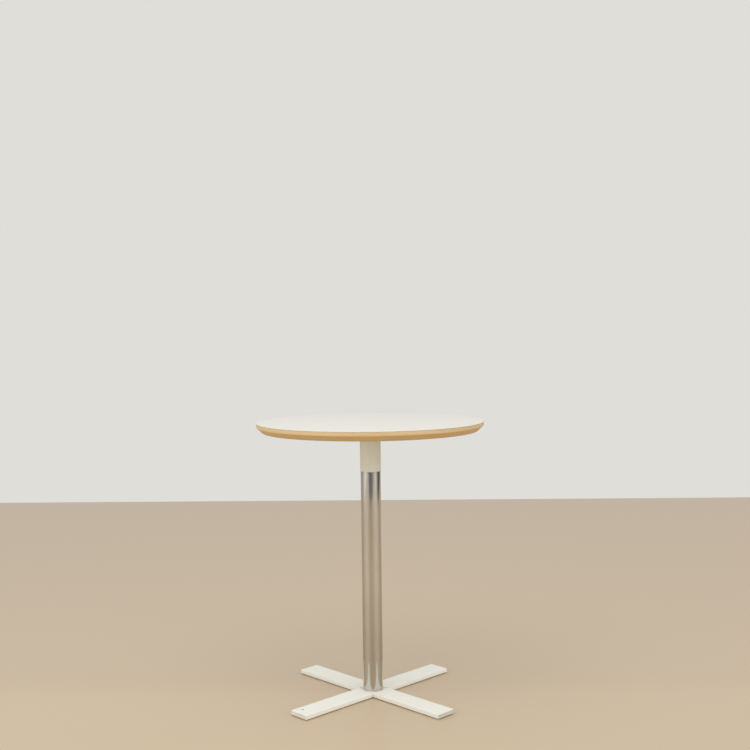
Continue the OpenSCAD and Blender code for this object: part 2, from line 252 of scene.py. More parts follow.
# The edging: six pieces of solid beech, sawn to the curve from straight boards and glued round
# the board with a tongue. The ring was turned to its upright band and bevel, then lacquered.
def beech(name, along, chance):
    """Clear-lacquered beech with straight grain in one direction. Growth rings show as faint
    lines along it, and rays and pores as short dark flecks."""
    wood, tree, shader = new_finish(name, Coat_Weight=0.2, Coat_Roughness=0.3)
    # The trunk's middle lay beside each piece and below it, so the rings cross it aslant.
    pith = (chance.uniform(-1, 1), 0.09 + chance.uniform(0, 0.03), chance.uniform(-0.67, -0.64))
    lie = place(tree, turn=-along, shift=pith)
    sway = noise(tree, place(tree, (3, 22, 22), -along, pith))
    sway_reach = 0.012
    bent = {0: sway, 1: (0.0, sway_reach, sway_reach), 2: lie}
    bent = add(tree, "ShaderNodeVectorMath", bent, operation="MULTIPLY_ADD").outputs[0]
    growth = {"Vector": bent, "Scale": 105.0, "Distortion": 1.5, "Detail": 2.0}
    growth = add(tree, "ShaderNodeTexWave", growth, wave_type="RINGS", rings_direction="X")
    fibre = noise(tree, place(tree, (60, 1400, 1400), -along, pith), detail=3.0, roughness=0.65)
    fleck = noise(tree, place(tree, (420, 2600, 1500), -along, pith), detail=1.0)
    patch = noise(tree, place(tree, (5, 30, 30), -along, pith))
    pale = blend(tree, chance.uniform(0.0, 0.35), tone("e2ca9e"), tone("dcc090"))
    ringed = spread(tree, growth.outputs["Fac"], 0.1, 1.0, 0.0, 0.5)
    shade = blend(tree, ringed, pale, tone("d2b07f"))
    shade = blend(tree, spread(tree, fibre, 0.35, 0.75, 0.0, 0.4), shade, tone("ccaa76"))
    shade = blend(tree, spread(tree, patch, 0.3, 0.7, 0.0, 0.3), shade, tone("d7b786"))
    shade = blend(tree, spread(tree, fleck, 0.66, 0.74, 0.0, 0.5), shade, tone("9f7446"))
    height = add(tree, "ShaderNodeSeparateXYZ", {0: place(tree)}).outputs["Z"]
    # Painted shade: the bevel faces down, so it is painted a deeper, warmer tone than the upright
    # band.
    bevel_shade_from, bevel_shade_full = band_foot + 0.001, band_foot - 0.002
    bevel_shade = spread(tree, height, bevel_shade_from, bevel_shade_full, 0.0, 0.5)
    shade = blend(tree, bevel_shade, shade, tone("d4a555"))
    tree.links.new(shade, shader.inputs["Base Color"])
    tree.links.new(spread(tree, fibre, 0.3, 0.7, 0.34, 0.46), shader.inputs["Roughness"])
    relief(tree, shader, fibre, 0.15, 0.0001)
    return wood


board_low, board_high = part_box("top_core")
edging_names = sorted(name for name in nodes if name.startswith("edging_"))
board_radius = 0.276
band_round = 0.0025
glue_line = 0.0001
tongue_depth = 0.008
tongue_half = 0.003
tongue_middle = (board_low.z + board_high.z) / 2
edging_outline = rounded(
    [
        (board_radius + glue_line, board_low.z, 0),
        (board_foot_radius, board_low.z, 0),
        (top_radius, band_foot, band_round),
        (top_radius, board_high.z, 0),
        (board_radius + glue_line, board_high.z, 0),
        (board_radius + glue_line, tongue_middle + tongue_half, 0),
        (board_radius - tongue_depth, tongue_middle + tongue_half, 0),
        (board_radius - tongue_depth, tongue_middle - tongue_half, 0),
        (board_radius + glue_line, tongue_middle - tongue_half, 0),
    ],
    6,
)
first_joint = math.radians(57)
piece_angle = math.tau / len(edging_names)
piece_steps = 44
half_joint = 0.00004
joint_angle = half_joint / top_radius
edging_chance = random.Random(11)
for i, name in enumerate(edging_names):
    start = first_joint + piece_angle * i
    end = start + piece_angle
    arc = spin(edging_outline, piece_steps, start + joint_angle, end - joint_angle)
    wood = beech("beech_" + name[-1], start + (piece_angle + math.pi) / 2, edging_chance)
    edging = new_piece("bevelled_" + name, arc, wood)
    even_shading(edging)
    stand_for(edging, "root", "beech", name)


# The face: a sheet of high-pressure laminate, glued over board and edging alike and trimmed
# flush. Its decor is a thin white skin on brown paper, which shows as a fine line at the rim.
laminate, tree, shader = new_finish("white_laminate", Specular_IOR_Level=0.35)
wiped = noise(tree, place(tree, (3.0, 9.0, 1.0)), 1.0, 5.0, 0.6)
tree.links.new(blend(tree, wiped, tone("dddcd8"), tone("dad8d3")), shader.inputs["Base Color"])
tree.links.new(spread(tree, wiped, 0.3, 0.7, 0.44, 0.52), shader.inputs["Roughness"])
relief(tree, shader, noise(tree, place(tree), 1100.0), 0.06, 0.0002)
decor_depth = 0.0002
decor_round = 0.0001
sheet_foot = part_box("top_laminate")[0].z
face_outline = rounded(
    [
        (0, sheet_foot, 0),
        (top_radius, sheet_foot, 0),
        (top_radius, top_face - decor_depth, 0),
        (top_radius - decor_depth, top_face, decor_round),
        (0, top_face, 0),
    ],
    2,
)
face = new_piece("laminate_face", spin(face_outline, top_steps), laminate)
bare_rim(face, laminate_paper("face_paper"))
stand_for(face, "root", "white_laminate", "top_laminate")


# Four brass inserts, screwed into the board from below so that the top comes off its plate
# again and again without tearing the chips out. The plate and the heads of its screws hide them.
brass, tree, shader = new_finish("turned_brass", Metallic=1.0, Base_Color=tone("c3a05a"))
tooling = noise(tree, place(tree, (300, 300, 4000)))
tree.links.new(spread(tree, tooling, 0.3, 0.7, 0.28, 0.45), shader.inputs["Roughness"])
dress("threaded_inserts", brass)


# The plate that carries the top: square steel sheet with round corners, powder coated with the
# collar that is welded to it. The coat is satin white with the skin of an orange.
def powder_coat(name, light, dull):
    """Satin powder coat, slightly uneven in tone and gloss, with its tree, shader and colour."""
    coat, tree, shader = new_finish(name)
    drift = noise(tree, place(tree), 22.0, 3.0)
    colour = blend(tree, drift, tone(light), tone(dull))
    tree.links.new(colour, shader.inputs["Base Color"])
    tree.links.new(spread(tree, drift, 0.3, 0.7, 0.36, 0.44), shader.inputs["Roughness"])
    relief(tree, shader, noise(tree, place(tree), 650.0, 1.0), 0.1, 0.0003)
    return coat, tree, shader, colour


bracket_coat = powder_coat("bracket_coat", "e8e7df", "e1dfd4")[0]
dress("mounting_plate", bracket_coat)


# The plate's four screws: zinc-plated steel with low round heads and a hexagon socket. One is
# modelled on the axis, and a node tree sets it out at the four corners of a square.
def zinc(name):
    """Zinc plating: bright grey steel with a faint cloudy stain."""
    plating, tree, shader = new_finish(name, Metallic=1.0)
    stain = noise(tree, place(tree), 260.0, 4.0, 0.6)
    tree.links.new(blend(tree, stain, tone("c9cac6"), tone("a3a49f")), shader.inputs["Base Color"])
    tree.links.new(spread(tree, stain, 0.3, 0.7, 0.3, 0.48), shader.inputs["Roughness"])
    return plating


def cut(piece, tool_shape):
    """Cuts a closed shape out of a piece."""
    tool = new_piece("tool", tool_shape, piece.data.materials[0])
    change = piece.modifiers.new("cut", "BOOLEAN")
    change.operation = "DIFFERENCE"
    change.solver = "EXACT"
    change.object = tool
    settle(piece)
    bpy.data.objects.remove(tool)


def set_out_square():
    """A node tree that repeats a mesh at the corners of a square and gives it a finish."""
    tree = bpy.data.node_groups.new("set_out_square", "GeometryNodeTree")
    sockets = tree.interface
    sockets.new_socket("Mesh", in_out="INPUT", socket_type="NodeSocketGeometry")
    sockets.new_socket("Spacing", in_out="INPUT", socket_type="NodeSocketFloat")
    sockets.new_socket("Finish", in_out="INPUT", socket_type="NodeSocketMaterial")
    sockets.new_socket("Mesh", in_out="OUTPUT", socket_type="NodeSocketGeometry")
    given = add(tree, "NodeGroupInput", {}).outputs
    side = given["Spacing"]
    corners = {"Size X": side, "Size Y": side, "Vertices X": 2, "Vertices Y": 2}
    grid = add(tree, "GeometryNodeMeshGrid", corners).outputs["Mesh"]
    placed = {"Points": grid, "Instance": given["Mesh"]}
    copies = add(tree, "GeometryNodeInstanceOnPoints", placed).outputs[0]
    real = add(tree, "GeometryNodeRealizeInstances", {0: copies}).outputs[0]
    finished = {"Geometry": real, "Material": given["Finish"]}
    add(tree, "NodeGroupOutput", {0: add(tree, "GeometryNodeSetMaterial", finished).outputs[0]})
    return tree


def run_tree(piece, tree, values):
    """Runs a node tree on a piece with these inputs, and keeps the result as plain mesh."""
    modifier = piece.modifiers.new(tree.name, "NODES")
    modifier.node_group = tree
    for socket in tree.interface.items_tree:
        if socket.in_out == "INPUT" and socket.name in values:
            modifier[socket.identifier] = values[socket.name]
    settle(piece)


screws_low, screws_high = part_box("plate_screws")
plate_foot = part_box("mounting_plate")[0].z
screw_head_radius = 0.006
screw_crown_radius = screw_head_radius * 0.62
screw_rim_height = 0.0009
screw_head_round = 0.0012
screw_radius = 0.003
screw_lead = 0.0006
key_width = 0.004
key_depth = 0.002
cut_clear = 0.001
screw_outline = rounded(
    [
        (0, screws_low.z, 0),
        (screw_crown_radius, screws_low.z, screw_head_round),
        (screw_head_radius, plate_foot - screw_rim_height, screw_head_round),
        (screw_head_radius, plate_foot, 0),
        (screw_radius, plate_foot, 0),
        (screw_radius, screws_high.z - screw_lead, 0),
        (screw_radius - screw_lead, screws_high.z, 0),
        (0, screws_high.z, 0),
    ]
)


def hexagon(across_flats, low, high):
    """A hexagonal prism round the Z axis, as a tool for a key's socket."""
    corner = across_flats / 2 / math.cos(math.pi / 6)
    return spin([(0, low), (corner, low), (corner, high), (0, high)], 6)


plated = zinc("zinc_plating")
screws = new_piece("plate_screw_set", spin(screw_outline, 48), plated)
cut(screws, hexagon(key_width, screws_low.z - cut_clear, screws_low.z + key_depth))
screw_spacing = screws_high.x - screws_low.x - 2 * screw_head_radius
run_tree(screws, set_out_square(), {"Spacing": screw_spacing, "Finish": plated})
stand_for(screws, "root", "plated_steel", "plate_screws")


# The collar: a short steel tube, 1 mm proud of the column all round, welded to the plate and
# powder coated with it. Its lower rim is broken so that the coat holds there.
def tube_outline(radius, wall, low, high, outer_edge):
    """The section of a tube's wall, with the outer corners of its ends rounded."""
    return rounded(
        [
            (radius, low, outer_edge),
            (radius, high, outer_edge),
            (radius - wall, high, outer_edge / 2),
            (radius - wall, low, outer_edge / 2),
        ]
    )


collar_low, collar_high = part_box("collar_tube")
collar_radius = collar_high.x
collar_wall = 0.002
collar_edge = 0.0005
collar_outline = tube_outline(
    collar_radius, collar_wall, collar_low.z, collar_high.z, collar_edge
)
collar = new_piece("painted_collar", spin(collar_outline, 128), bracket_coat)
even_shading(collar)
stand_for(collar, "root", "white_paint", "collar_tube")


# The weld that joins collar and plate, under the same coat. The torch left a bead of overlapping
# ripples all round: a rod swept along a circle that swells and shrinks with each ripple.
def weld_bead():
    """A node tree that sweeps a rippled bead round a circle and gives it a finish."""
    tree = bpy.data.node_groups.new("weld_bead", "GeometryNodeTree")
    sockets = tree.interface
    sockets.new_socket("Mesh", in_out="INPUT", socket_type="NodeSocketGeometry")
    for name in ("Ring Radius", "Height", "Bead Radius"):
        sockets.new_socket(name, in_out="INPUT", socket_type="NodeSocketFloat")
    for name in ("Ripples", "Points a Ripple"):
        sockets.new_socket(name, in_out="INPUT", socket_type="NodeSocketInt")
    sockets.new_socket("Finish", in_out="INPUT", socket_type="NodeSocketMaterial")
    sockets.new_socket("Mesh", in_out="OUTPUT", socket_type="NodeSocketGeometry")
    given = add(tree, "NodeGroupInput", {}).outputs
    count = math_node(tree, "MULTIPLY", given["Ripples"], given["Points a Ripple"])
    circle = {"Resolution": count, "Radius": given["Ring Radius"]}
    ring = add(tree, "GeometryNodeCurvePrimitiveCircle", circle).outputs[0]
    lift = add(tree, "ShaderNodeCombineXYZ", {"Z": given["Height"]}).outputs[0]
    path = add(tree, "GeometryNodeTransform", {"Geometry": ring, "Translation": lift}).outputs[0]
    number = add(tree, "GeometryNodeInputIndex", {}).outputs[0]
    step = math_node(tree, "MODULO", number, given["Points a Ripple"])
    share = math_node(tree, "DIVIDE", step, given["Points a Ripple"])
    size = spread(tree, share, 0.0, 1.0, 1.0, 0.78)
    section = {"Resolution": 12, "Radius": given["Bead Radius"]}
    profile = add(tree, "GeometryNodeCurvePrimitiveCircle", section).outputs[0]
    swept = {"Curve": path, "Profile Curve": profile, "Scale": size}
    bead = add(tree, "GeometryNodeCurveToMesh", swept).outputs[0]
    smooth = add(tree, "GeometryNodeSetShadeSmooth", {0: bead}).outputs[0]
    real = add(tree, "GeometryNodeRealizeInstances", {0: smooth}).outputs[0]
    finished = {"Geometry": real, "Material": given["Finish"]}
    add(tree, "NodeGroupOutput", {0: add(tree, "GeometryNodeSetMaterial", finished).outputs[0]})
    return tree


weld_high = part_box("collar_weld")[1]
bead_radius = (weld_high.x - collar_radius) / 2
bead_share_outside = 0.9
bead = new_piece("collar_weld_bead", bmesh.new(), bracket_coat)
bead_sizes = {
    "Ring Radius": collar_radius + bead_radius * bead_share_outside,
    "Height": weld_high.z - bead_radius,
    "Bead Radius": bead_radius,
    "Ripples": 90,
    "Points a Ripple": 5,
    "Finish": bracket_coat,
}
run_tree(bead, weld_bead(), bead_sizes)
stand_for(bead, "root", "white_paint", "collar_weld")


# What clamps the table together, out of sight in the column: a turned plug in the collar, the
# tie rod with its thin lock nuts, and the coupling nut for the screw that comes up the foot.
turned, tree, shader = new_finish("turned_steel", Metallic=1.0, Base_Color=tone("a9abad"))
feed = noise(tree, place(tree, (40, 40, 5000)))
tree.links.new(spread(tree, feed, 0.3, 0.7, 0.3, 0.5), shader.inputs["Roughness"])
dress("centring_plug", turned)
for name in ("tie_rod", "rod_lock_nuts", "coupling_nut"):
    dress(name, plated)


# The column: thin-walled steel tube, polished and chrome plated, standing on the foot and held
# under the collar. Wiping has left faint upright streaks and damp a few pits near the collar. A
# painted darker reflection, for the shaded floor it mirrors, dulls the chrome a hand's breadth
# above the foot.
column_low, column_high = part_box("column_tube")
column_radius = column_high.x
column_wall = 0.0015
column_edge = 0.0004
damp_reach = 0.016
reflection_dim_top = 0.28
reflection_dim_full_from = 0.16
reflection_dim_full_to = 0.10
reflection_dim_foot = 0.02
reflection_dim_most = 0.26
chrome, tree, shader = new_finish("chrome_plate", Metallic=1.0)
streak = noise(tree, place(tree, (260, 260, 3)), detail=3.0, roughness=0.6)
bloom = noise(tree, place(tree, (30, 30, 8)), detail=5.0, roughness=0.65)
pits = noise(tree, place(tree, (1, 1, 0.6)), 420.0)
height = add(tree, "ShaderNodeSeparateXYZ", {0: place(tree)}).outputs["Z"]
damp = spread(tree, height, column_high.z - damp_reach, column_high.z, 0.0, 0.2)
pitted = spread(tree, math_node(tree, "ADD", pits, damp), 0.72, 0.78, 0.0, 0.6)
plate_colour = blend(tree, spread(tree, bloom, 0.4, 0.8), tone("cdc9c3"), tone("c3beb6"))
plate_colour = blend(tree, pitted, plate_colour, tone("6f6a62"))
# Painted darker reflection: the chrome darkens towards the foot, where it mirrors the shaded floor.
reflection_dim_above = spread(tree, height, reflection_dim_top, reflection_dim_full_from, 0.0, reflection_dim_most)
reflection_dim_below = spread(tree, height, reflection_dim_foot, reflection_dim_full_to)
reflection_dim = math_node(tree, "MULTIPLY", reflection_dim_above, reflection_dim_below)
plate_colour = blend(tree, reflection_dim, plate_colour, tone("9a9386"))
tree.links.new(plate_colour, shader.inputs["Base Color"])
tree.links.new(spread(tree, streak, 0.3, 0.7, 0.05, 0.11), shader.inputs["Roughness"])
column_outline = tube_outline(
    column_radius, column_wall, column_low.z, column_high.z, column_edge
)
column = new_piece("chrome_column", spin(column_outline, 160), chrome)
even_shading(column)
stand_for(column, "root", "chrome", "column_tube")


# The foot's bars: flat steel, one right across and two butted against its sides, with broken
# edges and, near each tip, a shallow recess and a hole for the glide. The powder coat has lost
# a chip by one tip, is scuffed near the tips and greyed on the end faces, with a grey line
# under their top rim. Painted shade darkens a ring close round the column's foot, and two
# darker marks lie beside it.
def prism(outline, low, high):
    """A closed solid along X between two places, with an outline of (y, z)."""
    shape = bmesh.new()
    ends = [[shape.verts.new((x, y, z)) for y, z in outline] for x in (low, high)]
    count = len(outline)
    for i in range(count):
        j = (i + 1) % count
        shape.faces.new((ends[0][i], ends[0][j], ends[1][j], ends[1][i]))
    shape.faces.new(ends[0])
    shape.faces.new(ends[1])
    bmesh.ops.recalc_face_normals(shape, faces=shape.faces)
    return shape


def moved(shape, shift=(0, 0, 0), turn=0.0):
    """A shape after a shift and then a turn about Z."""
    change = Matrix.Rotation(turn, 4, "Z") @ Matrix.Translation(shift)
    bmesh.ops.transform(shape, matrix=change, verts=shape.verts)
    return shape


def near_point(tree, where, radius, ragged, grain=900.0):
    """A share of 1 at a point, falling to 0 at that distance, with a ragged outline. A finer
    grain tears the outline into smaller bays."""
    gap = add(tree, "ShaderNodeVectorMath", {0: place(tree), 1: where}, operation="DISTANCE")
    torn = math_node(tree, "MULTIPLY", noise(tree, place(tree), grain), ragged)
    reach = math_node(tree, "ADD", gap.outputs["Value"], torn)
    return spread(tree, reach, radius * 0.8, radius, 1.0, 0.0)


bar_names = ("long_bar", "short_bar_front_right", "short_bar_back_left")
bar_low, bar_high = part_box("long_bar")
bar_half = 0.030
bar_reach = 0.2625
bar_edge = 0.0008
end_face_from = bar_reach - 0.0012
end_face_full = bar_reach - 0.0006
glide_inset = 0.025
glide_radius = bar_reach - glide_inset
diagonal = math.radians(45)
column_shade_reach = 0.009
dark_mark_radius = 0.0105
dark_mark_places = ((-0.033, 0.004, bar_high.z), (0.036, 0.004, bar_high.z))
end_line_foot = bar_high.z - 0.0048
end_line_top = bar_high.z - 0.0032
tips_from = 0.15
chip_radius = 0.0054
chip_aside = 0.012
foot_coat, tree, shader, colour = powder_coat("foot_coat", "f1f1ec", "eae9e2")
round_place = place(tree, (1, 1, 0))
from_axis = add(tree, "ShaderNodeVectorMath", {0: round_place}, operation="LENGTH").outputs["Value"]
mottle = noise(tree, place(tree), 75.0, 4.0, 0.65)
# Painted shade: a darker, mottled ring close round the column, where it stands on the bars.
ring_share = spread(tree, from_axis, column_radius, column_radius + column_shade_reach, 1.0, 0.0)
column_shade = math_node(tree, "MULTIPLY", ring_share, spread(tree, mottle, 0.42, 0.62, 0.1, 0.6))
colour = blend(tree, column_shade, colour, tone("a9a496"))
# Two darker, ragged marks on the bars just beside the column's foot.
for dark_mark_place in dark_mark_places:
    mark = near_point(tree, dark_mark_place, dark_mark_radius, ragged=0.012, grain=260.0)
    dark_mark = math_node(tree, "MULTIPLY", mark, spread(tree, mottle, 0.3, 0.6, 0.3, 0.65))
    colour = blend(tree, dark_mark, colour, tone("8f8a80"))
along_bars = add(tree, "ShaderNodeSeparateXYZ", {0: place(tree, turn=-diagonal)}).outputs
reach_out = add(tree, "ShaderNodeVectorMath", {0: place(tree, turn=-diagonal)}, operation="ABSOLUTE")
reach_out = add(tree, "ShaderNodeSeparateXYZ", {0: reach_out.outputs[0]}).outputs
reach_out = math_node(tree, "MAXIMUM", reach_out["X"], reach_out["Y"])
on_end = spread(tree, reach_out, end_face_from, end_face_full)
# A grey line, broken up by noise, just under the top rim of the bars' end faces.
under_rim = spread(tree, along_bars["Z"], end_line_foot, end_line_top)
end_line_patches = spread(tree, noise(tree, place(tree), 60.0, 3.0), 0.35, 0.6, 0.05, 0.3)
line = math_node(tree, "MULTIPLY", math_node(tree, "MULTIPLY", on_end, under_rim), end_line_patches)
colour = blend(tree, line, colour, tone("989a8d"))
front_right_tip = spread(tree, along_bars["Y"], -end_face_from, -end_face_full, 0.12, 0.4)
colour = blend(tree, math_node(tree, "MULTIPLY", on_end, front_right_tip), colour, tone("98938a"))
scuff = noise(tree, place(tree, (90, 260, 90), diagonal), detail=5.0, roughness=0.7)
tips = spread(tree, from_axis, tips_from, bar_reach, 0.0, 0.45)
scuffed = math_node(tree, "MULTIPLY", tips, spread(tree, scuff, 0.58, 0.72))
colour = blend(tree, scuffed, colour, tone("c9c5ba"))
chip_along = glide_radius * math.cos(diagonal)
chip_across = chip_aside * math.cos(diagonal)
chip_place = (-chip_along - chip_across, -chip_along + chip_across, bar_high.z)
chip = near_point(tree, chip_place, chip_radius, ragged=0.0022)
colour = blend(tree, chip, colour, tone("b3938a"))
tree.links.new(colour, shader.inputs["Base Color"])
bar_section = [
    (-bar_half, bar_low.z),
    (bar_half, bar_low.z),
    (bar_half, bar_high.z),
    (-bar_half, bar_high.z),
]
recess_radius = 0.014
recess_depth = 0.002
recess_top = bar_low.z + recess_depth
stud_hole_radius = 0.0041
stud_hole_depth = 0.0085
stud_hole_top = bar_low.z + stud_hole_depth
screw_head = 0.01005
screw_shank = 0.0055
for name, turn, inner in zip(bar_names, (1, -1, 3), (-bar_reach, bar_half, bar_half)):
    shape = prism(bar_section, inner, bar_reach)
    rims = [e for e in shape.edges if inner < 0 or max(v.co.x for v in e.verts) > bar_reach - 1e-6]
    bmesh.ops.bevel(shape, geom=rims, offset=bar_edge, segments=4, profile=0.5, affect="EDGES")
    bar = new_piece("coated_" + name, moved(shape, turn=turn * diagonal), foot_coat)
    below = bar_low.z - cut_clear
    drill = [(0, below), (recess_radius, below), (recess_radius, recess_top)]
    drill += [(stud_hole_radius, recess_top), (stud_hole_radius, stud_hole_top)]
    for reach in (-glide_radius, glide_radius) if inner < 0 else (glide_radius,):
        cut(bar, moved(spin([*drill, (0, stud_hole_top)], 48), (reach, 0, 0), turn * diagonal))
    if inner < 0:
        seat = bar_low.z + screw_head - screw_shank
        above = bar_high.z + cut_clear
        countersink = [(0, below), (screw_head, below), (screw_head, bar_low.z)]
        countersink += [(screw_shank, seat), (screw_shank, above), (0, above)]
        cut(bar, spin(countersink, 64))
    even_shading(bar)
    stand_for(bar, "root", "white_paint", name)


# The foot's welds, laid in a groove where each short bar meets the long one, above and below,
# and round the disc, then ground almost flush. A slight hollow shows them under the coat.
def joined(shapes):
    """One shape out of several."""
    whole = bmesh.new()
    for shape in shapes:
        part = bpy.data.meshes.new("part")
        shape.to_mesh(part)
        shape.free()
        whole.from_mesh(part)
        bpy.data.meshes.remove(part)
    return whole


weld_leg = 0.0012
weld_sink = 0.00025
weld_half_sink = weld_sink * 0.8
disc_weld_leg = 0.003
bar_middle = (bar_low.z + bar_high.z) / 2
seam_end = bar_half - bar_edge
seams = []
for turn in (-1, 3):
    for face_side in (-1, 1):
        face_height = (bar_high.z - bar_middle) * face_side
        lay = [(-weld_leg, 0), (-weld_leg / 2, -weld_half_sink), (0, -weld_sink)]
        lay += [(weld_leg / 2, -weld_half_sink), (weld_leg, 0), (0, -weld_leg)]
        outline = [(across, bar_middle + face_height + up * face_side) for across, up in lay]
        seam = prism(outline, -seam_end, seam_end)
        seams.append(moved(moved(seam, turn=-math.pi / 2), (bar_half, 0, 0), turn * diagonal))
disc_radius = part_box("locating_disc")[1].x
disc_weld = [
    (disc_radius - disc_weld_leg, bar_high.z),
    (disc_radius, bar_high.z),
    (disc_radius, bar_high.z + disc_weld_leg),
]
seams.append(spin(disc_weld, 64))
welds = new_piece("ground_welds", joined(seams), foot_coat, 60.0)
stand_for(welds, "root", "white_paint", "foot_welds")


# The disc that keeps the column in place is turned steel, welded to the foot and coated with it.
# A countersunk steel screw comes up through the foot and draws the whole table together.
dress("locating_disc", foot_coat)
dress("foot_screw", plated)


# The four glides, one near each tip: a zinc-plated threaded stud with a flange, and a nylon pad
# moulded round it with a ribbed rim for the fingers. Screwed right in, the pad draws a little
# way into the bar's recess; screwed out, it levels the table.
def thread(radius, root, pitch, low, high):
    """A threaded rod round the Z axis, with its ridge running out at both ends."""
    around = 40
    rings_a_turn = 10
    # The ridge takes half of each turn, with steep flanks and a narrow flat crest.
    flank_start = 1.25
    flank_slope = 2.5
    count = round((high - low) / pitch * rings_a_turn)
    shape = bmesh.new()
    rings = []
    for level in range(count + 1):
        z = low + (high - low) * level / count
        fade = min(1.0, (z - low) / pitch, (high - z) / pitch)
        ring = []
        for step in range(around):
            angle = math.tau * step / around
            phase = ((z - low) / pitch - step / around) % 1.0
            ridge = min(1.0, max(0.0, flank_start - flank_slope * abs(2 * phase - 1)))
            r = root + (radius - root) * ridge * fade
            ring.append(shape.verts.new((r * math.cos(angle), r * math.sin(angle), z)))
        rings.append(ring)
    for ring, upper in zip(rings, rings[1:]):
        for i in range(around):
            j = (i + 1) % around
            shape.faces.new((ring[i], ring[j], upper[j], upper[i]))
    shape.faces.new(rings[0])
    shape.faces.new(rings[-1])
    bmesh.ops.recalc_face_normals(shape, faces=shape.faces)
    return shape


def grip_ribs():
    """A node tree that presses upright ribs into the rim of a round pad about the Z axis."""
    tree = bpy.data.node_groups.new("grip_ribs", "GeometryNodeTree")
    sockets = tree.interface
    sockets.new_socket("Mesh", in_out="INPUT", socket_type="NodeSocketGeometry")
    for name in ("Ribs", "Depth", "Rim Radius", "Rim Width"):
        sockets.new_socket(name, in_out="INPUT", socket_type="NodeSocketFloat")
    sockets.new_socket("Finish", in_out="INPUT", socket_type="NodeSocketMaterial")
    sockets.new_socket("Mesh", in_out="OUTPUT", socket_type="NodeSocketGeometry")
    given = add(tree, "NodeGroupInput", {}).outputs
    spot = add(tree, "GeometryNodeInputPosition", {}).outputs[0]
    part = add(tree, "ShaderNodeSeparateXYZ", {0: spot}).outputs
    angle = math_node(tree, "ARCTAN2", part["Y"], part["X"])
    wave = math_node(tree, "COSINE", math_node(tree, "MULTIPLY", angle, given["Ribs"]))
    flat = add(tree, "ShaderNodeVectorMath", {0: spot, 1: (1, 1, 0)}, operation="MULTIPLY")
    radius = add(tree, "ShaderNodeVectorMath", {0: flat.outputs[0]}, operation="LENGTH")
    inside = math_node(tree, "SUBTRACT", given["Rim Radius"], given["Rim Width"])
    on_rim = spread(tree, radius.outputs["Value"], inside, given["Rim Radius"])
    press = math_node(tree, "MULTIPLY", spread(tree, wave, -1.0, 1.0), given["Depth"])
    press = math_node(tree, "MULTIPLY", press, on_rim)
    outward = add(tree, "ShaderNodeVectorMath", {0: flat.outputs[0]}, operation="NORMALIZE")
    inward = math_node(tree, "MULTIPLY", press, -1.0)
    shift = {0: outward.outputs[0], "Scale": inward}
    shift = add(tree, "ShaderNodeVectorMath", shift, operation="SCALE").outputs[0]
    pressed = {"Geometry": given["Mesh"], "Offset": shift}
    pressed = add(tree, "GeometryNodeSetPosition", pressed).outputs[0]
    real = add(tree, "GeometryNodeRealizeInstances", {0: pressed}).outputs[0]
    finished = {"Geometry": real, "Material": given["Finish"]}
    add(tree, "NodeGroupOutput", {0: add(tree, "GeometryNodeSetMaterial", finished).outputs[0]})
    return tree


nylon, tree, shader = new_finish("grey_nylon")
wear = noise(tree, place(tree), 90.0, 4.0, 0.6)
tree.links.new(blend(tree, wear, tone("4d4d4b"), tone("434341")), shader.inputs["Base Color"])
tree.links.new(spread(tree, wear, 0.3, 0.7, 0.42, 0.6), shader.inputs["Roughness"])
relief(tree, shader, noise(tree, place(tree), 1800.0), 0.15, 0.0001)
rib_tree = grip_ribs()
stud_radius = 0.004
thread_root = 0.00335
thread_pitch = 0.00125
thread_sink = 0.0004
flange_radius = 0.008
pad_radius = 0.013
pad_round = 0.0008
pad_bore_radius = flange_radius + 0.00005
ribs = {"Ribs": 24.0, "Depth": 0.0005, "Rim Radius": pad_radius, "Rim Width": 0.002}
for corner in ("front_left", "front_right", "back_right", "back_left"):
    pad_low, pad_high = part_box("glide_pad_" + corner)
    stud_low, stud_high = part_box("glide_stud_" + corner)
    middle = Vector(((pad_low.x + pad_high.x) / 2, (pad_low.y + pad_high.y) / 2, 0))
    disc = [(0, stud_low.z), (flange_radius, stud_low.z), (flange_radius, pad_high.z)]
    flange = spin([*disc, (0, pad_high.z)], 48)
    rod = thread(stud_radius, thread_root, thread_pitch, pad_high.z - thread_sink, stud_high.z)
    stud = new_piece("threaded_stud_" + corner, moved(joined([flange, rod]), middle), plated, 50.0)
    stand_for(stud, "glide_" + corner, "plated_steel", "glide_stud_" + corner)
    pad_outline = rounded(
        [
            (0, pad_low.z, 0),
            (pad_radius, pad_low.z, pad_round),
            (pad_radius, pad_high.z, pad_round),
            (pad_bore_radius, pad_high.z, 0),
            (pad_bore_radius, stud_low.z, 0),
            (0, stud_low.z, 0),
        ]
    )
    pad = new_piece("ribbed_pad_" + corner, spin(pad_outline, 144), nylon)
    run_tree(pad, rib_tree, {**ribs, "Finish": nylon})
    pad.data.transform(Matrix.Translation(middle))
    stand_for(pad, "glide_" + corner, "nylon", "glide_pad_" + corner)


# The room: a plain pale floor with painted shade that darkens it towards the back, a plain
# pale backdrop, and soft light all round that is strongest from the front. Metal and gloss
# mirror the backdrop too, with soft windows at both sides of the front and darker parts low
# down and between them.
floor_reach = 3.277
floor_turn = math.radians(-1.0)
far_shade_curve = 0.45
floor_shape = bmesh.new()
bmesh.ops.create_grid(floor_shape, x_segments=1, y_segments=1, size=floor_reach)
floor_paint, tree, shader = new_finish("floor_paint", Roughness=0.35)
# Painted shade on the floor: darker towards the back, where the light falls off.
depth = add(tree, "ShaderNodeSeparateXYZ", {0: place(tree)}).outputs["Y"]
far_shade = math_node(tree, "POWER", spread(tree, depth, 0.0, floor_reach), far_shade_curve)
floor_colour = blend(tree, far_shade, tone("c8b49a"), tone("b9a68f"))
tree.links.new(floor_colour, shader.inputs["Base Color"])
floor = new_piece("floor", moved(floor_shape, turn=floor_turn), floor_paint)

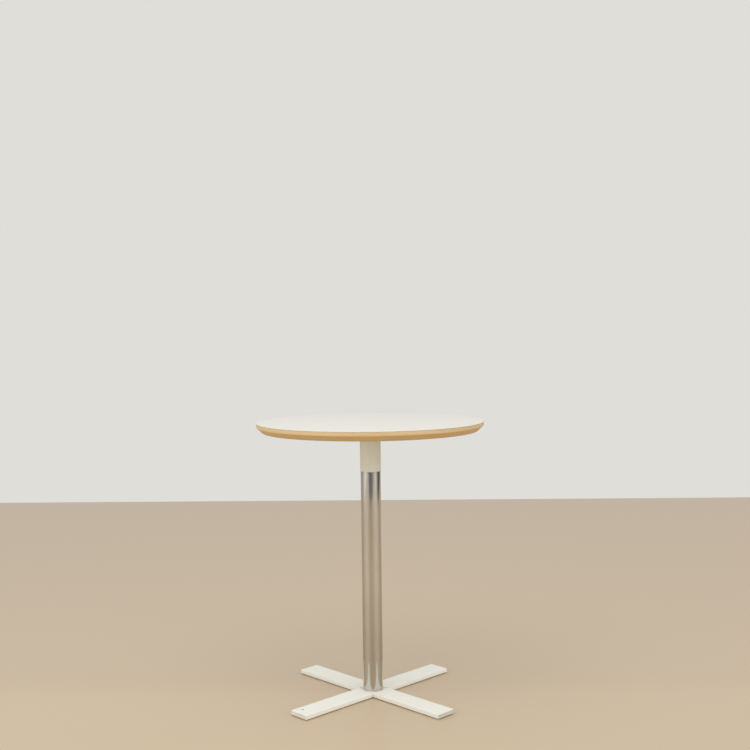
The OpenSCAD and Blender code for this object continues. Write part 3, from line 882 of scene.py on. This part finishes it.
room = bpy.data.worlds.new("room")
room.use_nodes = True
bpy.context.scene.world = room
tree = room.node_tree
tree.nodes.clear()
direction = add(tree, "ShaderNodeTexCoord", {}).outputs["Generated"]
axes = add(tree, "ShaderNodeSeparateXYZ", {0: direction}).outputs


def part_of_room(tree, round_from_front, up, reach, sharpness):
    """A share of 1 in one direction, given by its angles, falling to 0 at a reach from it."""
    turn, lift = math.radians(round_from_front), math.radians(up)
    across = math.cos(lift)
    towards = (math.sin(turn) * across, -math.cos(turn) * across, math.sin(lift))
    facing = add(tree, "ShaderNodeVectorMath", {0: direction, 1: towards}, operation="DOT_PRODUCT")
    share = spread(tree, facing.outputs["Value"], math.cos(math.radians(reach)), 1.0)
    return math_node(tree, "POWER", share, sharpness)


path_kind = add(tree, "ShaderNodeLightPath", {}).outputs
mirrored = path_kind["Is Glossy Ray"]
plain = math_node(tree, "MAXIMUM", path_kind["Is Camera Ray"], path_kind["Is Transmission Ray"])
front_glow = 1.315
back_glow = 0.5
ceiling_glow = 1.0
low_share = 0.66
sides = spread(tree, axes["Y"], -0.2, 0.6, front_glow, back_glow)
upward = spread(tree, axes["Z"], 0.25, 0.36)
rise = math_node(tree, "SUBTRACT", ceiling_glow, sides)
glow = math_node(tree, "ADD", sides, math_node(tree, "MULTIPLY", rise, upward))
glow = blend(tree, mirrored, glow, (1.0, 1.0, 1.0, 1.0))
# Degrees round from the front, degrees up, reach in degrees, sharpness, and gain. The windows
# stand at both sides, low and high, and the last part is the darker one straight ahead.
windows = (
    (-60, 13, 40, 1.2, 0.9),
    (58, 13, 40, 1.2, 0.8),
    (-60, 42, 45, 1.0, 0.5),
    (50, 42, 45, 1.0, 0.8),
    (0, 13, 34, 1.0, -0.3),
)
for round_from_front, up, reach, sharpness, gain in windows:
    share = part_of_room(tree, round_from_front, up, reach, sharpness)
    glow = math_node(tree, "ADD", glow, math_node(tree, "MULTIPLY", share, gain))
# The same without the degrees up, for what the chrome mirrors just below the level of the eye.
below_eye = spread(tree, axes["Z"], 0.1, 0.0)
low_lift = -7
low_parts = (
    (0, 40, 1.4, -0.25),
    (-2, 15, 1.0, -0.18),
    (-62, 45, 1.2, 0.6),
    (50, 40, 1.2, 0.3),
    (30, 22, 1.0, -0.24),
    (103, 42, 1.2, -0.75),
)
for round_from_front, reach, sharpness, gain in low_parts:
    share = part_of_room(tree, round_from_front, low_lift, reach, sharpness)
    share = math_node(tree, "MULTIPLY", share, below_eye)
    glow = math_node(tree, "ADD", glow, math_node(tree, "MULTIPLY", share, gain))
glow = math_node(tree, "MULTIPLY", glow, spread(tree, axes["Z"], -0.12, 0.05, low_share, 1.0))
glow = math_node(tree, "MULTIPLY", glow, math_node(tree, "SUBTRACT", 1.0, plain))
strength = math_node(tree, "ADD", glow, plain)
backdrop = {"Color": tone("dfded9"), "Strength": strength}
back = add(tree, "ShaderNodeBackground", backdrop).outputs[0]
add(tree, "ShaderNodeOutputWorld", {"Surface": back})

lamp_size = 2.4
lamp_watts = 12.0
lamp_place = Vector((-0.4, -0.9, 2.6))
lamp_aim = Vector((0, 0, 0.4))
lamp = bpy.data.lights.new("ceiling_lamp", "AREA")
lamp.shape = "DISK"
lamp.size = lamp_size
lamp.energy = lamp_watts
ceiling_lamp = bpy.data.objects.new("ceiling_lamp", lamp)
ceiling_lamp.location = lamp_place
ceiling_lamp.rotation_euler = (lamp_aim - lamp_place).to_track_quat("-Z", "Y").to_euler()
bpy.context.scene.collection.objects.link(ceiling_lamp)


# The camera stands 2.85 m in front of the table, just under 1 m up, tipped down a little and
# rolled by two thirds of a degree, as the photograph was taken.
picture_width = 750.0
focal_pixels = 1080.55
camera_distance = 2.8548
camera_height = 0.9694
stand_angle = math.radians(0.939)
heading = math.radians(0.295) - stand_angle
tip = math.radians(-2.378)
roll = math.radians(0.674)
ahead = Vector((math.sin(heading) * math.cos(tip), math.cos(heading) * math.cos(tip), math.sin(tip)))
level_right = Vector((math.cos(heading), -math.sin(heading), 0))
level_down = ahead.cross(level_right)
right = math.cos(roll) * level_right + math.sin(roll) * level_down
down = -math.sin(roll) * level_right + math.cos(roll) * level_down
lens = bpy.data.cameras.new("camera")
lens.sensor_width = 36.0
lens.lens = focal_pixels / picture_width * lens.sensor_width
camera = bpy.data.objects.new("camera", lens)
stand = Vector((math.sin(stand_angle), -math.cos(stand_angle), 0)) * camera_distance
stand.z = camera_height
facing = Matrix((right, -down, -ahead)).transposed().to_4x4()
camera.matrix_world = Matrix.Translation(stand) @ facing
bpy.context.scene.collection.objects.link(camera)
bpy.context.scene.camera = camera
bpy.context.scene.view_settings.view_transform = "Standard"
